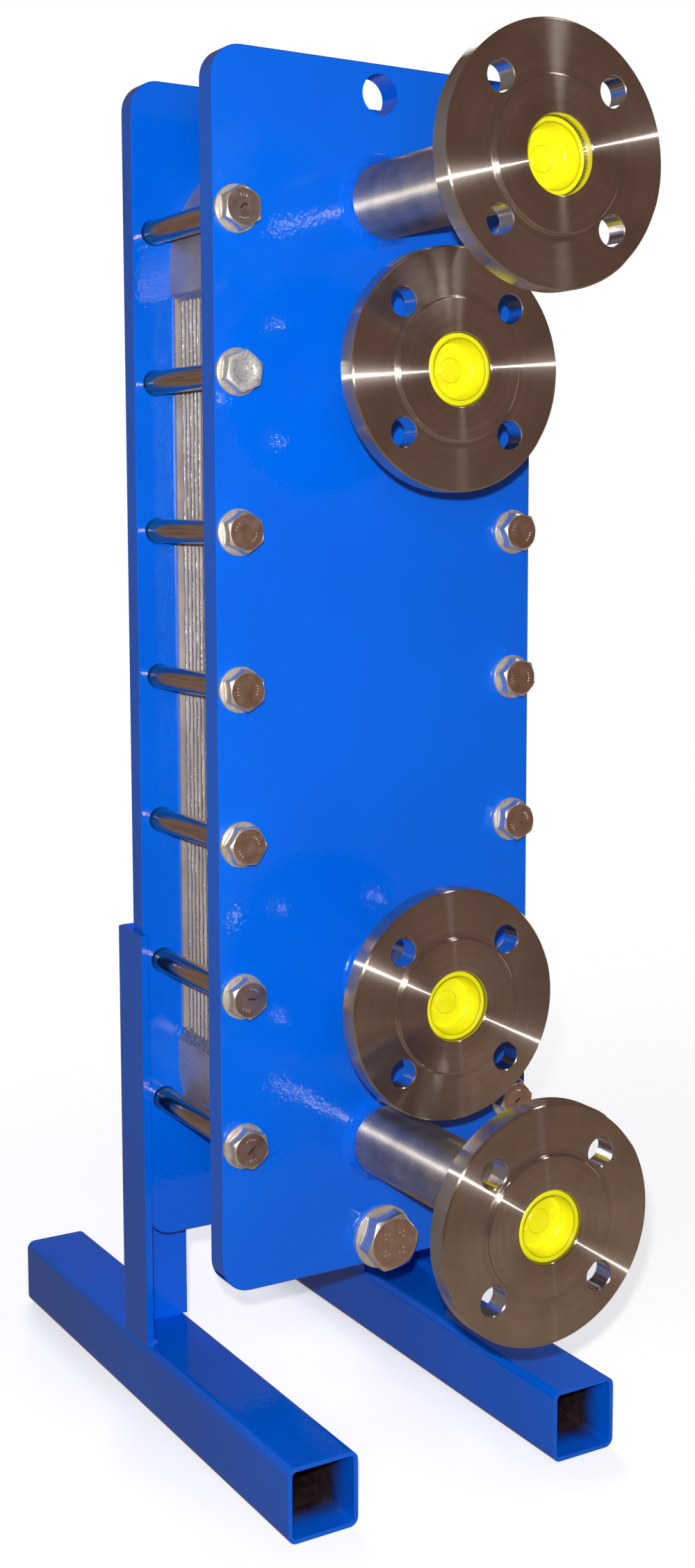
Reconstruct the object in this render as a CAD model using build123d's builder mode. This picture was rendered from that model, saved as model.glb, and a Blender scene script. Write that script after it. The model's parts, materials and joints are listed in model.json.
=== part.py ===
"""Welded plate heat exchanger on a two-legged stand.

A pack of hollow cassettes is clamped between two thick pressure plates by fourteen tie bolts.
One fluid runs inside the cassettes, between the two inner nozzles. The other runs between the
cassettes, from hood to hood, and enters and leaves by the two outer nozzles.

Frame: millimetres, +Z up, -Y towards the nozzles. The origin is on the ground, in the middle of
the whole object's outline. Left means -X.
"""
from build123d import *
import math
import os

# ---- driving dimensions -------------------------------------------------------------------

# Stand
FOOT_LENGTH = 450.0
FOOT_SECTION = 50.0
FOOT_WALL = 3.0
FOOT_CORNER = 6.0
FOOT_FRONT_OVERHANG = 100.0      # foot's front end to the front plate's front face
STAND_HALF_WIDTH = 126.0
LEG_TOP = 346.0
LEG_THICKNESS = 5.0
LEG_SIDE = 46.0                  # flange beside the rear plate, along Y
LEG_BACK = 50.0                  # flange behind the rear plate, along X
LEG_PROUD = 11.0                 # how far the side flange stands in front of the rear plate
LEG_FOLD = 8.0                   # outer radius of the fold

# Pressure plates
PLATE_WIDTH = 240.0
PLATE_HEIGHT = 800.0
PLATE_BOTTOM = 125.0
PLATE_CORNER = 20.0
PLATE_EDGE = 0.8                 # chamfer round the outline
FRONT_PLATE_THICKNESS = 19.0
REAR_PLATE_THICKNESS = 17.0
PLATE_GAP = 104.0
LIFTING_HOLE_R = 13.0
LIFTING_HOLE_INSET = 19.0        # centre to the plate's top edge

# Tie bolts, M16, screwed into the rear plate
BOLT_X = 105.0
BOLT_PITCH = 100.0
BOLT_COUNT = 7
BOLT_R = 8.0
BOLT_HEAD_FLATS = 24.0
BOLT_HEAD_HEIGHT = 10.0
BOLT_TIP_PROUD = 7.0             # bolt end behind the rear plate
BOLT_TIP_BEVEL = 1.2
WASHER_R = 15.0
WASHER_BORE_R = 8.5
WASHER_THICKNESS = 3.0
BOLT_HOLE_R = 8.75
TAPPED_HOLE_R = 8.05
TAPPED_HOLE_MOUTH = 1.0          # countersink round the tapped hole
HEX_FACE_SHARE = 0.95            # round end face of a hexagon, as a share of its width
HEAD_TURNS = {                   # degrees, top bolt first
    "left": (0, -8, 5, 3, 27, 2, 8),
    "right": (10, 20, 20, 15, -5, 12, -20),
}

# Lower centre bolt, M24, in a hole as wide as the lifting hole
CENTRE_BOLT_R = 12.0
CENTRE_HEAD_FLATS = 36.0
CENTRE_HEAD_HEIGHT = 15.0
CENTRE_HEAD_TURN = -21.0
CENTRE_NUT_HEIGHT = 19.0
CENTRE_NUT_TURN = 4.0
CENTRE_NUT_BORE_R = 12.05
CENTRE_TIP_PROUD = 4.0
CENTRE_WASHER_R = 22.0
CENTRE_WASHER_BORE_R = 12.5
CENTRE_WASHER_THICKNESS = 4.0
CENTRE_BOLT_DROP = 0.9           # the bolt lies low in its wider hole

# Nozzles and flanges, DN40, with the EN 1092-1 PN40 bolt circle
PORT_CENTRE_Z = 525.0
OUTER_PORT_RISE = 313.0
INNER_PORT_RISE = 200.0
OUTER_REACH = 200.0              # flange face to the front plate's front face
INNER_REACH = 97.0
PIPE_R = 24.15
PIPE_WALL = 1.6
FLANGE_R = 75.0
FLANGE_THICKNESS = 18.0
FLANGE_EDGE = 1.0
RAISED_FACE_R = 44.0
RAISED_FACE_HEIGHT = 3.0
FLANGE_BOLT_CIRCLE_R = 55.0
FLANGE_HOLE_R = 9.0
SOCKET_SHOULDER = 5.0            # flange face to the end of the pipe inside it
BORE_BEVEL = 0.7
PORT_HOLE_R = 24.65
ROOT_WELD_LEG = 9.0
FLANGE_WELD_LEG = 4.0

# Transit plugs
PLUG_GAP = 0.3
PLUG_LENGTH = 22.0
PLUG_LIP = 3.8                   # width of the front ring
PLUG_ROUND = 0.8
PLUG_CUP_DEPTH = 12.0
PLUG_DRAFT = 1.4                 # how much the cup narrows down to its floor
PLUG_FLOOR = 2.0
PLUG_SKIN = 2.2                  # wall behind the floor
PLUG_SET_BACK = {"top_outer": 7.0, "top_inner": 0.4, "bottom_inner": 2.5, "bottom_outer": 1.2}

# Plate pack
CASSETTE_COUNT = 16
CASSETTE_THICKNESS = 4.0
CASSETTE_SPACING = 2.0
CASSETTE_HALF_WIDTH = 88.0
CASSETTE_WALL = 0.8
CASSETTE_RIM = 5.0               # welded border round the hollow
CASSETTE_EDGE = 0.9              # chamfer of the long welded edges
END_SHEET = 3.0
END_SHEET_HALF_WIDTH = 91.0
SPACER_WIDTH = 4.0
SPACER_INSET = 1.5               # spacer strip behind the cassette edges
PORT_RING_R = 29.0
HOOD_R = 94.0
HOOD_ARCH_RISE = 273.5           # arch centre from the port centre line
HOOD_LIP_RISE = 259.0            # open edge from the port centre line
HOOD_WALL = 3.0
HOOD_SLOT_GAP = 0.2              # slack round the cassettes where they enter a hood
PACK_OVERLAP = 7.0               # how far the cassettes reach into a hood
PACK_WELD_LEG = {"top": 3.0, "bottom": 9.0}
PACK_WELD_END_GAP = 0.4
PACK_WELD_STEP = 0.3             # a heavy bead stops short of the hood's side by this much

# Stand welds
PLATE_WELD_LEG = 5.0
PLATE_WELD_LENGTH = 27.0
PLATE_WELD_COUNT = 3             # beads behind the rear plate, on each leg
PLATE_WELD_STEP = 92.0           # their spacing along a leg
PLATE_WELD_INSET = 1.0           # top bead below the leg's top
FOOT_WELD_LEG = 4.5
FOOT_WELD_INSET = 0.5            # front bead inside the leg's thickness
WELD_BULGE = 0.62                # crown of a bead, as a share of its leg

# ---- derived places -----------------------------------------------------------------------

SIDES = {"left": -1, "right": 1}
ENDS = {"top": 1, "bottom": -1}

total_depth = OUTER_REACH + FOOT_LENGTH - FOOT_FRONT_OVERHANG
plate_front = OUTER_REACH - total_depth / 2
front_plate_back = plate_front + FRONT_PLATE_THICKNESS
rear_plate_front = front_plate_back + PLATE_GAP
rear_plate_back = rear_plate_front + REAR_PLATE_THICKNESS
plate_centre_z = PLATE_BOTTOM + PLATE_HEIGHT / 2
lifting_z = PLATE_BOTTOM + PLATE_HEIGHT - LIFTING_HOLE_INSET
centre_hole_z = PLATE_BOTTOM + LIFTING_HOLE_INSET
centre_bolt_z = centre_hole_z - CENTRE_BOLT_DROP
bolt_heights = [
    plate_centre_z + BOLT_PITCH * ((BOLT_COUNT - 1) / 2 - i) for i in range(BOLT_COUNT)
]

foot_front = plate_front - FOOT_FRONT_OVERHANG
foot_back = foot_front + FOOT_LENGTH
leg_inner_x = STAND_HALF_WIDTH - LEG_THICKNESS
leg_front = rear_plate_front - LEG_PROUD
leg_back = leg_front + LEG_SIDE

bore_r = PIPE_R - PIPE_WALL
sheet_inner_front = front_plate_back + END_SHEET
sheet_inner_back = rear_plate_front - END_SHEET
cassette_pitch = CASSETTE_THICKNESS + CASSETTE_SPACING
PORTS = {                        # height of the axis, and y of the flange face
    "top_outer": (PORT_CENTRE_Z + OUTER_PORT_RISE, plate_front - OUTER_REACH),
    "top_inner": (PORT_CENTRE_Z + INNER_PORT_RISE, plate_front - INNER_REACH),
    "bottom_inner": (PORT_CENTRE_Z - INNER_PORT_RISE, plate_front - INNER_REACH),
    "bottom_outer": (PORT_CENTRE_Z - OUTER_PORT_RISE, plate_front - OUTER_REACH),
}
inner_port_heights = [PORTS["top_inner"][0], PORTS["bottom_inner"][0]]

os.makedirs("parts", exist_ok=True)


# ---- shared construction ------------------------------------------------------------------

def finish(piece, label):
    """Name a finished piece and write it to its own file."""
    piece.part.label = label
    export_step(piece.part, f"parts/{label}.step")


def facing_front(y, x=0.0, z=0.0):
    """A sketch plane whose x is +X and whose y is +Z. It extrudes towards -Y."""
    return Plane(origin=(x, y, z), x_dir=(1, 0, 0), z_dir=(0, -1, 0))


def beside_axis(y, z):
    """A sketch plane through a port's axis: its x is +Y and its y is the radius."""
    return Plane(origin=(0, y, z), x_dir=(0, 1, 0), z_dir=(1, 0, 0))


def port_axis(z):
    return Axis((0, 0, z), (0, 1, 0))


def hexagon(flats, height, turn):
    """A hexagon prism from y = 0 to y = -height, bevelled round its outer end."""
    corner_r = flats / 2 / math.cos(math.radians(30))
    flat_r = HEX_FACE_SHARE * flats / 2
    bevel_drop = (corner_r - flat_r) * math.tan(math.radians(30))
    with BuildPart() as prism:
        with BuildSketch(facing_front(0)):
            RegularPolygon(radius=corner_r, side_count=6, rotation=turn)
        extrude(amount=height)
        with BuildSketch(Plane.XY):
            with BuildLine():
                Polyline(
                    (0, 0),
                    (corner_r, 0),
                    (corner_r, bevel_drop - height),
                    (flat_r, -height),
                    (0, -height),
                    close=True,
                )
            make_face()
        revolve(axis=Axis.Y, mode=Mode.INTERSECT)
    return prism.part


def hex_bolt(shank_r, flats, head_height, turn, length):
    """A bolt along +Y, with the underside of its head at y = 0."""
    with BuildPart() as bolt:
        add(hexagon(flats, head_height, turn))
        with BuildSketch(facing_front(length)):
            Circle(shank_r)
        extrude(amount=length)
        chamfer(bolt.edges().sort_by(Axis.Y)[-1], BOLT_TIP_BEVEL)
    return bolt.part


def weld_bead(plane, leg, length):
    """A fillet weld in the corner of a plane's +x and +y axes, extruded along its normal."""
    crown = WELD_BULGE * leg
    with BuildPart() as bead:
        with BuildSketch(plane):
            with BuildLine():
                Line((0, 0), (leg, 0))
                ThreePointArc((leg, 0), (crown, crown), (0, leg))
                Line((0, leg), (0, 0))
            make_face()
        extrude(amount=length)
    return bead.part


# ---- pressure plates ----------------------------------------------------------------------

with BuildPart() as front_plate:
    with BuildSketch(facing_front(front_plate_back)):
        with Locations((0, plate_centre_z)):
            RectangleRounded(PLATE_WIDTH, PLATE_HEIGHT, PLATE_CORNER)
    extrude(amount=FRONT_PLATE_THICKNESS)
    chamfer(front_plate.edges().filter_by(Axis.Y, reverse=True), PLATE_EDGE)
    with BuildSketch(facing_front(front_plate_back)):
        with Locations((0, lifting_z), (0, centre_hole_z)):
            Circle(LIFTING_HOLE_R)
        with Locations(*[(0, z) for z, face_y in PORTS.values()]):
            Circle(PORT_HOLE_R)
        with Locations((0, plate_centre_z)):
            with GridLocations(2 * BOLT_X, BOLT_PITCH, 2, BOLT_COUNT):
                Circle(BOLT_HOLE_R)
    extrude(amount=FRONT_PLATE_THICKNESS, mode=Mode.SUBTRACT)
finish(front_plate, "front_plate")

with BuildPart() as rear_plate:
    with BuildSketch(facing_front(rear_plate_back)):
        with Locations((0, plate_centre_z)):
            RectangleRounded(PLATE_WIDTH, PLATE_HEIGHT, PLATE_CORNER)
    extrude(amount=REAR_PLATE_THICKNESS)
    chamfer(rear_plate.edges().filter_by(Axis.Y, reverse=True), PLATE_EDGE)
    with BuildSketch(facing_front(rear_plate_back)):
        with Locations((0, lifting_z), (0, centre_hole_z)):
            Circle(LIFTING_HOLE_R)
    extrude(amount=REAR_PLATE_THICKNESS, mode=Mode.SUBTRACT)
    with Locations(facing_front(rear_plate_front, z=plate_centre_z)):
        with GridLocations(2 * BOLT_X, BOLT_PITCH, 2, BOLT_COUNT):
            CounterSinkHole(TAPPED_HOLE_R, TAPPED_HOLE_R + TAPPED_HOLE_MOUTH)
finish(rear_plate, "rear_plate")

# ---- stand --------------------------------------------------------------------------------

for side, sign in SIDES.items():
    foot_x = sign * (STAND_HALF_WIDTH - FOOT_SECTION / 2)

    with BuildPart() as foot:
        with BuildSketch(facing_front(foot_back, foot_x, FOOT_SECTION / 2)):
            RectangleRounded(FOOT_SECTION, FOOT_SECTION, FOOT_CORNER)
            tube_bore = FOOT_SECTION - 2 * FOOT_WALL
            RectangleRounded(tube_bore, tube_bore, FOOT_CORNER - FOOT_WALL, mode=Mode.SUBTRACT)
        extrude(amount=FOOT_LENGTH)
    finish(foot, f"{side}_foot")

    with BuildPart() as leg:
        with BuildSketch(Plane.XY.offset(FOOT_SECTION)):
            with Locations((sign * (STAND_HALF_WIDTH - LEG_THICKNESS / 2), leg_front + LEG_SIDE / 2)):
                Rectangle(LEG_THICKNESS, LEG_SIDE)
            with Locations((sign * (STAND_HALF_WIDTH - LEG_BACK / 2), leg_back - LEG_THICKNESS / 2)):
                Rectangle(LEG_BACK, LEG_THICKNESS)
        extrude(amount=LEG_TOP - FOOT_SECTION)
        upright_edges = leg.edges().filter_by(Axis.Z)
        outer_corner = Vector(sign * STAND_HALF_WIDTH, leg_back, 0)
        inner_corner = Vector(sign * leg_inner_x, leg_back - LEG_THICKNESS, 0)
        fillet(upright_edges.sort_by_distance(outer_corner)[0], LEG_FOLD)
        upright_edges = leg.edges().filter_by(Axis.Z)
        fillet(upright_edges.sort_by_distance(inner_corner)[0], LEG_FOLD - LEG_THICKNESS)
    finish(leg, f"{side}_leg")

# Each leg is welded to the rear plate, in front and behind, and to the top of its foot.
# The planes below stand on the right leg. Its beads are then mirrored to the left one.
plate_corner_front = Plane(
    origin=(leg_inner_x, rear_plate_front, LEG_TOP - PLATE_WELD_INSET - PLATE_WELD_LENGTH),
    x_dir=(-1, 0, 0),
    z_dir=(0, 0, 1),
)
plate_corners_back = [
    Plane(
        origin=(leg_inner_x, rear_plate_back, LEG_TOP - PLATE_WELD_INSET - step * PLATE_WELD_STEP),
        x_dir=(-1, 0, 0),
        z_dir=(0, 0, -1),
    )
    for step in range(PLATE_WELD_COUNT)
]
foot_corner_inside = Plane(
    origin=(leg_inner_x, leg_front, FOOT_SECTION), x_dir=(-1, 0, 0), z_dir=(0, 1, 0)
)
foot_corner_front = Plane(
    origin=(STAND_HALF_WIDTH - FOOT_WELD_INSET, leg_front, FOOT_SECTION),
    x_dir=(0, -1, 0),
    z_dir=(-1, 0, 0),
)
foot_corner_behind = Plane(
    origin=(STAND_HALF_WIDTH - LEG_BACK, leg_back, FOOT_SECTION), x_dir=(0, 1, 0), z_dir=(1, 0, 0)
)
stand_beads = [
    weld_bead(corner, PLATE_WELD_LEG, PLATE_WELD_LENGTH)
    for corner in [plate_corner_front] + plate_corners_back
]
for corner, length in (
    (foot_corner_inside, LEG_SIDE - LEG_THICKNESS - FOOT_WELD_LEG),
    (foot_corner_front, LEG_THICKNESS - 2 * FOOT_WELD_INSET),
    (foot_corner_behind, LEG_BACK - LEG_FOLD),
):
    stand_beads.append(weld_bead(corner, FOOT_WELD_LEG, length))

with BuildPart() as stand_welds:
    add(stand_beads)
    mirror(about=Plane.YZ)
finish(stand_welds, "stand_welds")

# ---- plate pack ---------------------------------------------------------------------------

for end, sign in ENDS.items():
    arch_z = PORT_CENTRE_Z + sign * HOOD_ARCH_RISE
    lip_z = PORT_CENTRE_Z + sign * HOOD_LIP_RISE
    port_z = PORT_CENTRE_Z + sign * OUTER_PORT_RISE

    with BuildPart() as hood:
        for plane, inset, depth, mode in (
            (facing_front(rear_plate_front), 0, PLATE_GAP, Mode.ADD),
            (facing_front(sheet_inner_back), HOOD_WALL, PLATE_GAP - 2 * END_SHEET, Mode.SUBTRACT),
        ):
            radius = HOOD_R - inset
            edge_z = lip_z + sign * inset
            with BuildSketch(plane):
                with BuildLine():
                    Line((-radius, edge_z), (-radius, arch_z))
                    ThreePointArc((-radius, arch_z), (0, arch_z + sign * radius), (radius, arch_z))
                    Line((radius, arch_z), (radius, edge_z))
                    Line((radius, edge_z), (-radius, edge_z))
                make_face()
            extrude(amount=depth, mode=mode)
        # the slot that takes the ends of the cassettes
        with BuildSketch(facing_front(sheet_inner_back)):
            with Locations((0, lip_z + sign * HOOD_WALL / 2)):
                Rectangle(2 * (CASSETTE_HALF_WIDTH + HOOD_SLOT_GAP), HOOD_WALL)
        extrude(amount=PLATE_GAP - 2 * END_SHEET, mode=Mode.SUBTRACT)
        with BuildSketch(facing_front(sheet_inner_front)):
            with Locations((0, port_z)):
                Circle(bore_r)
        extrude(amount=END_SHEET, mode=Mode.SUBTRACT)
    finish(hood, f"{end}_hood")

notch = END_SHEET_HALF_WIDTH - CASSETTE_HALF_WIDTH
for name, back_y, port_heights in (
    ("pack_front_sheet", sheet_inner_front, inner_port_heights),
    ("pack_rear_sheet", rear_plate_front, []),
):
    with BuildPart() as end_sheet:
        with BuildSketch(facing_front(back_y)):
            with Locations((0, PORT_CENTRE_Z)):
                Rectangle(2 * END_SHEET_HALF_WIDTH, 2 * HOOD_LIP_RISE)
            # the lower corners are cut away round the bottom hood's heavier welds
            with Locations((0, PORT_CENTRE_Z - HOOD_LIP_RISE + PACK_WELD_LEG["bottom"] / 2)):
                with GridLocations(2 * (END_SHEET_HALF_WIDTH - notch / 2), 0, 2, 1):
                    Rectangle(notch, PACK_WELD_LEG["bottom"], mode=Mode.SUBTRACT)
            for z in port_heights:
                with Locations((0, z)):
                    Circle(bore_r, mode=Mode.SUBTRACT)
        extrude(amount=END_SHEET)
    finish(end_sheet, name)

cassette_height = 2 * (HOOD_LIP_RISE + PACK_OVERLAP)
for number in range(1, CASSETTE_COUNT + 1):
    back_y = sheet_inner_front + number * cassette_pitch

    with BuildPart() as cassette:
        with BuildSketch(facing_front(back_y)):
            with Locations((0, PORT_CENTRE_Z)):
                Rectangle(2 * CASSETTE_HALF_WIDTH, cassette_height)
        extrude(amount=CASSETTE_THICKNESS)
        chamfer(cassette.edges().filter_by(Axis.Z), CASSETTE_EDGE)
        with BuildSketch(facing_front(back_y - CASSETTE_WALL)):
            with Locations((0, PORT_CENTRE_Z)):
                Rectangle(
                    2 * (CASSETTE_HALF_WIDTH - CASSETTE_RIM),
                    cassette_height - 2 * CASSETTE_RIM,
                )
        extrude(amount=CASSETTE_THICKNESS - 2 * CASSETTE_WALL, mode=Mode.SUBTRACT)
        with BuildSketch(facing_front(back_y)):
            for z in inner_port_heights:
                with Locations((0, z)):
                    Circle(bore_r)
        extrude(amount=CASSETTE_THICKNESS, mode=Mode.SUBTRACT)
    finish(cassette, f"cassette_{number:02d}")

# Strips between the long edges, and rings round the inner ports, close the gaps
with BuildPart() as side_spacers:
    for gap in range(CASSETTE_COUNT + 1):
        gap_back = sheet_inner_front + gap * cassette_pitch + CASSETTE_SPACING
        spacer_x = CASSETTE_HALF_WIDTH - SPACER_INSET - SPACER_WIDTH / 2
        with BuildSketch(facing_front(gap_back)):
            with Locations((0, PORT_CENTRE_Z)):
                with GridLocations(2 * spacer_x, 0, 2, 1):
                    Rectangle(SPACER_WIDTH, cassette_height)
        extrude(amount=CASSETTE_SPACING)
finish(side_spacers, "side_spacers")

with BuildPart() as port_rings:
    for gap in range(CASSETTE_COUNT + 1):
        gap_back = sheet_inner_front + gap * cassette_pitch + CASSETTE_SPACING
        with BuildSketch(facing_front(gap_back)):
            for z in inner_port_heights:
                with Locations((0, z)):
                    Circle(PORT_RING_R)
                    Circle(bore_r, mode=Mode.SUBTRACT)
        extrude(amount=CASSETTE_SPACING)
finish(port_rings, "port_rings")

# Welds between each hood's lip and the cassette edges. The heavier bottom ones run the whole
# depth of the pack, and the top ones run between the end sheets.
pack_beads = []
for end, bead_front, bead_back in (
    ("top", sheet_inner_front, sheet_inner_back),
    ("bottom", front_plate_back + PACK_WELD_END_GAP, rear_plate_front - PACK_WELD_END_GAP),
):
    lip_z = PORT_CENTRE_Z + ENDS[end] * HOOD_LIP_RISE
    bead_width = min(PACK_WELD_LEG[end], HOOD_R - CASSETTE_HALF_WIDTH - PACK_WELD_STEP)
    with BuildPart() as bead:
        with BuildSketch(facing_front(bead_back)):
            with BuildLine():
                Polyline(
                    (CASSETTE_HALF_WIDTH, lip_z),
                    (CASSETTE_HALF_WIDTH + bead_width, lip_z),
                    (CASSETTE_HALF_WIDTH, lip_z - ENDS[end] * PACK_WELD_LEG[end]),
                    close=True,
                )
            make_face()
        extrude(amount=bead_back - bead_front)
    pack_beads.append(bead.part)

with BuildPart() as pack_welds:
    add(pack_beads)
    mirror(about=Plane.YZ)
finish(pack_welds, "pack_welds")

# ---- nozzles ------------------------------------------------------------------------------

root_beads = []
flange_beads = []
for port, (z, face_y) in PORTS.items():
    flange_back = face_y + FLANGE_THICKNESS
    pipe_end = face_y + SOCKET_SHOULDER

    with BuildPart() as flange:
        with BuildSketch(facing_front(flange_back, z=z)):
            Circle(FLANGE_R)
        extrude(amount=FLANGE_THICKNESS - RAISED_FACE_HEIGHT)
        chamfer(flange.edges(), FLANGE_EDGE)
        with BuildSketch(facing_front(face_y + RAISED_FACE_HEIGHT, z=z)):
            Circle(RAISED_FACE_R)
        extrude(amount=RAISED_FACE_HEIGHT)
        with BuildSketch(facing_front(flange_back, z=z)):
            Circle(bore_r)
            with PolarLocations(FLANGE_BOLT_CIRCLE_R, 4, start_angle=45):
                Circle(FLANGE_HOLE_R)
        extrude(amount=FLANGE_THICKNESS, mode=Mode.SUBTRACT)
        with BuildSketch(facing_front(flange_back, z=z)):
            Circle(PIPE_R)
        extrude(amount=flange_back - pipe_end, mode=Mode.SUBTRACT)
        mouth = flange.edges().filter_by(GeomType.CIRCLE).group_by(Axis.Y)[0].sort_by(SortBy.RADIUS)
        chamfer(mouth[0], BORE_BEVEL)
    finish(flange, f"{port}_flange")

    with BuildPart() as nozzle:
        with BuildSketch(facing_front(front_plate_back, z=z)):
            Circle(PIPE_R)
            Circle(bore_r, mode=Mode.SUBTRACT)
        extrude(amount=front_plate_back - pipe_end)
    finish(nozzle, f"{port}_nozzle")

    for beads, corner_y, leg, direction in (
        (root_beads, plate_front, ROOT_WELD_LEG, -1),
        (flange_beads, flange_back, FLANGE_WELD_LEG, 1),
    ):
        reach = direction * leg
        crown = WELD_BULGE * leg
        with BuildPart() as ring:
            with BuildSketch(beside_axis(corner_y, z)):
                with BuildLine():
                    Line((0, PIPE_R), (reach, PIPE_R))
                    ThreePointArc(
                        (reach, PIPE_R), (direction * crown, PIPE_R + crown), (0, PIPE_R + leg)
                    )
                    Line((0, PIPE_R + leg), (0, PIPE_R))
                make_face()
            revolve(axis=port_axis(z))
        beads.append(ring.part)

    # a cup of soft plastic, closed by a floor part way down
    plug_r = bore_r - PLUG_GAP
    cup_r = plug_r - PLUG_LIP
    with BuildPart() as plug:
        with BuildSketch(beside_axis(face_y + PLUG_SET_BACK[port], z)):
            with BuildLine():
                Polyline(
                    (PLUG_CUP_DEPTH, 0),
                    (PLUG_CUP_DEPTH, cup_r - PLUG_DRAFT),
                    (PLUG_ROUND, cup_r),
                    (0, cup_r + PLUG_ROUND),
                    (0, plug_r - PLUG_ROUND),
                    (PLUG_ROUND, plug_r),
                    (PLUG_LENGTH, plug_r),
                    (PLUG_LENGTH, plug_r - PLUG_SKIN),
                    (PLUG_CUP_DEPTH + PLUG_FLOOR, plug_r - PLUG_SKIN),
                    (PLUG_CUP_DEPTH + PLUG_FLOOR, 0),
                    close=True,
                )
            make_face()
        revolve(axis=port_axis(z))
    finish(plug, f"{port}_plug")

with BuildPart() as nozzle_root_welds:
    add(root_beads)
finish(nozzle_root_welds, "nozzle_root_welds")

with BuildPart() as flange_welds:
    add(flange_beads)
finish(flange_welds, "flange_welds")

# ---- fasteners ----------------------------------------------------------------------------

bolt_length = rear_plate_back + BOLT_TIP_PROUD - plate_front + WASHER_THICKNESS
for side, sign in SIDES.items():
    bolts = [
        hex_bolt(BOLT_R, BOLT_HEAD_FLATS, BOLT_HEAD_HEIGHT, turn, bolt_length)
        for turn in HEAD_TURNS[side]
    ]
    with BuildPart() as tie_bolts:
        for bolt, z in zip(bolts, bolt_heights):
            with Locations((sign * BOLT_X, plate_front - WASHER_THICKNESS, z)):
                add(bolt)
    finish(tie_bolts, f"tie_bolts_{side}")

    with BuildPart() as bolt_washers:
        with BuildSketch(facing_front(plate_front, sign * BOLT_X)):
            for z in bolt_heights:
                with Locations((0, z)):
                    Circle(WASHER_R)
                    Circle(WASHER_BORE_R, mode=Mode.SUBTRACT)
        extrude(amount=WASHER_THICKNESS)
    finish(bolt_washers, f"bolt_washers_{side}")

for name, back_y in (
    ("centre_bolt_front_washer", plate_front),
    ("centre_bolt_rear_washer", rear_plate_back + CENTRE_WASHER_THICKNESS),
):
    with BuildPart() as centre_washer:
        with BuildSketch(facing_front(back_y, z=centre_bolt_z)):
            Circle(CENTRE_WASHER_R)
            Circle(CENTRE_WASHER_BORE_R, mode=Mode.SUBTRACT)
        extrude(amount=CENTRE_WASHER_THICKNESS)
    finish(centre_washer, name)

centre_stack = rear_plate_back - plate_front + 2 * CENTRE_WASHER_THICKNESS
centre_length = centre_stack + CENTRE_NUT_HEIGHT + CENTRE_TIP_PROUD
centre_hex_bolt = hex_bolt(
    CENTRE_BOLT_R, CENTRE_HEAD_FLATS, CENTRE_HEAD_HEIGHT, CENTRE_HEAD_TURN, centre_length
)
with BuildPart() as centre_bolt:
    with Locations((0, plate_front - CENTRE_WASHER_THICKNESS, centre_bolt_z)):
        add(centre_hex_bolt)
finish(centre_bolt, "centre_bolt")

nut_front = rear_plate_back + CENTRE_WASHER_THICKNESS
nut_blank = hexagon(CENTRE_HEAD_FLATS, CENTRE_NUT_HEIGHT, CENTRE_NUT_TURN)
with BuildPart() as centre_nut:
    # the blank's bevelled end faces -Y, so it is turned about to face the rear
    with Locations(Location((0, nut_front, centre_bolt_z), (0, 0, 180))):
        add(nut_blank)
    with BuildSketch(facing_front(nut_front + CENTRE_NUT_HEIGHT, z=centre_bolt_z)):
        Circle(CENTRE_NUT_BORE_R)
    extrude(amount=CENTRE_NUT_HEIGHT, mode=Mode.SUBTRACT)
finish(centre_nut, "centre_nut")
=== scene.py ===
"""Looks and studio for the welded plate heat exchanger.

Every length is in metres, in the row frame: +Z up, -Y towards the nozzles, origin on the floor.
"""

import json
import math

import bmesh
import bpy
from mathutils import Euler, Matrix, Vector, noise


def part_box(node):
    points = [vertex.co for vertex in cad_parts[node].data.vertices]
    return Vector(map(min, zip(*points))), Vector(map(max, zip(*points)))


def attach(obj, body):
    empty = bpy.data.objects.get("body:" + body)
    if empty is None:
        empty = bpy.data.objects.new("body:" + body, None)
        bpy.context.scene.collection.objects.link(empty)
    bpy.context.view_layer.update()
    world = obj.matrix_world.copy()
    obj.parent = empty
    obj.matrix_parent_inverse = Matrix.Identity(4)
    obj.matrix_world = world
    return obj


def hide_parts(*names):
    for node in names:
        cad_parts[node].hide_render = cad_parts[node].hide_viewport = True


MM = 0.001
BODY = "exchanger"
PORTS = ("top_outer", "top_inner", "bottom_inner", "bottom_outer")
SIDES = {"left": -1, "right": 1}

# Points round a flange, a bolt hole, a turned part, a bolt head and a bolt shank.
FLANGE_SEGMENTS = 192
HOLE_SEGMENTS = 64
LATHE_SEGMENTS = 128
HEAD_SEGMENTS = 96
SHANK_SEGMENTS = 72

RAISED_STEP = 3 * MM         # height of a flange's raised face
RAISED_R = 44 * MM           # its radius
BORE_INSET = 1.6 * MM        # how far a flange's bore is inside the pipe's outer face
FOOT_WALL = 3 * MM
RING_SINK = 0.4 * MM         # how far a ring bead is sunk into the pipe and the plate
BEAD_SINK = 0.3 * MM         # the same for a straight bead

# Hexagon bolts: across flats, shank radius, pitch and threaded length. Washers: both radii.
TIE_BOLT = {"flats": 24 * MM, "shank": 8 * MM, "pitch": 2 * MM, "thread": 12 * MM}
TIE_WASHER = (15 * MM, 8.5 * MM)
MARK_R = 7.068 * MM          # where the raised marks lie on a tie bolt's face
LOW_BOLT = {"flats": 36 * MM, "shank": 12 * MM, "pitch": 3 * MM, "thread": 34 * MM}
LOW_WASHER = (22 * MM, 12.5 * MM)

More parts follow.
